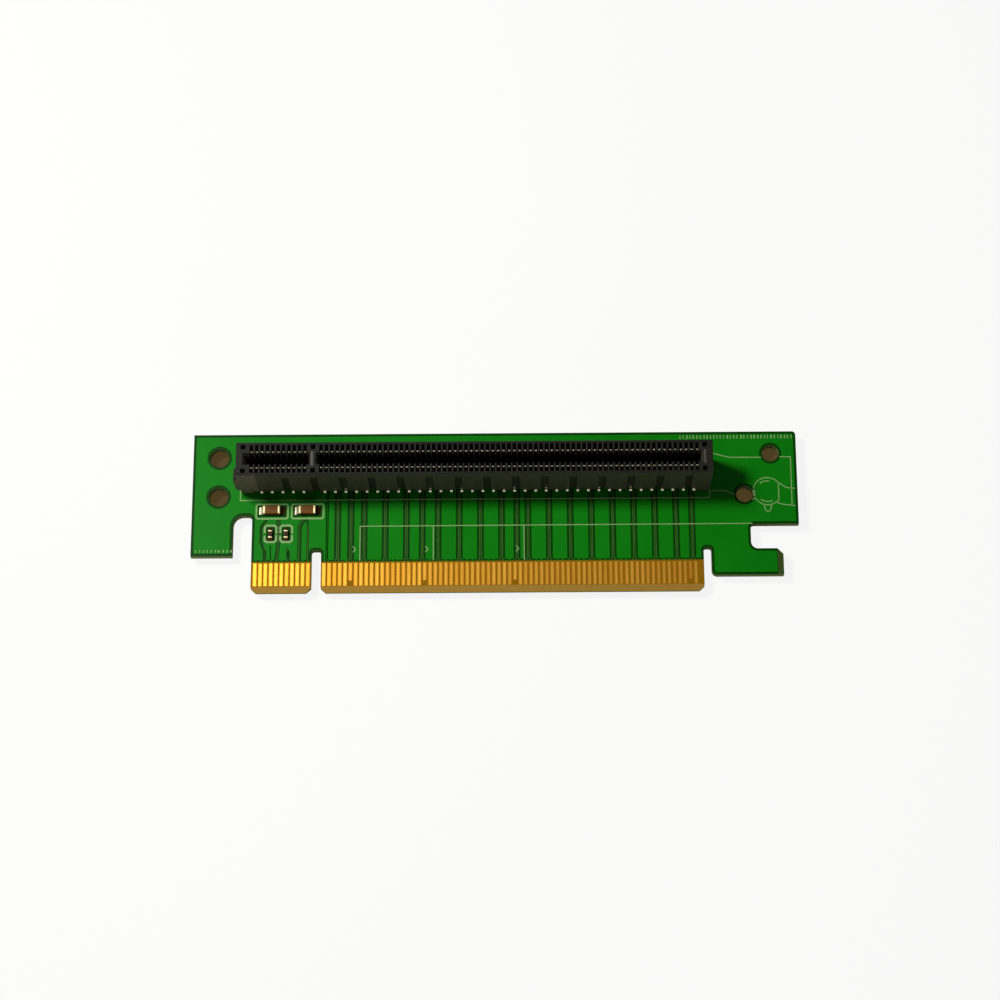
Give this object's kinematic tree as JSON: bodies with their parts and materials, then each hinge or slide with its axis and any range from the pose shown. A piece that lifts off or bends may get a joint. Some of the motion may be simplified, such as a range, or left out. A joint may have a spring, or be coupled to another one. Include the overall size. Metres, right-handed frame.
{
  "type": "pcie riser card",
  "caption": "Flat green riser card with bevelled gold edge contacts, a key notch, a hooked end and one long black card slot standing on its component face.",
  "frame": {"origin": "bottom centre of the card's box as it lies on its back: the middle of its length and height, at the level of the solder tips it rests on", "axes": "+X along the card from the leg with the two larger holes towards the hook, +Y from the plugged edge towards the top edge, +Z out of the component face, the way a card leaves the slot"},
  "size_m": [0.115, 0.0312, 0.0141],
  "materials": {
    "laminate": "green solder mask over glass laminate",
    "gold": "hard gold plate",
    "housing_plastic": "moulded black, slightly grained",
    "contact_metal": "plated spring bronze",
    "solder": "bright tin",
    "end_cap_tin": "satin tin plate",
    "capacitor_ceramic": "brown ceramic",
    "chip_ceramic": "dark brown ceramic"
  },
  "bodies": {
    "root": {"circuit_board": "laminate", "front_edge_contacts": "gold", "rear_edge_contacts": "gold", "slot_housing": "housing_plastic", "lower_outer_slot_contacts": "contact_metal", "lower_inner_slot_contacts": "contact_metal", "upper_outer_slot_contacts": "contact_metal", "upper_inner_slot_contacts": "contact_metal", "lower_outer_solder_joints": "solder", "lower_inner_solder_joints": "solder", "upper_outer_solder_joints": "solder", "upper_inner_solder_joints": "solder", "left_capacitor_body": "capacitor_ceramic", "left_capacitor_end_caps": "end_cap_tin", "left_capacitor_solder": "solder", "right_capacitor_body": "capacitor_ceramic", "right_capacitor_end_caps": "end_cap_tin", "right_capacitor_solder": "solder", "left_chip_body": "chip_ceramic", "left_chip_end_caps": "end_cap_tin", "left_chip_solder": "solder", "right_chip_body": "chip_ceramic", "right_chip_end_caps": "end_cap_tin", "right_chip_solder": "solder"}
  },
  "joints": []
}
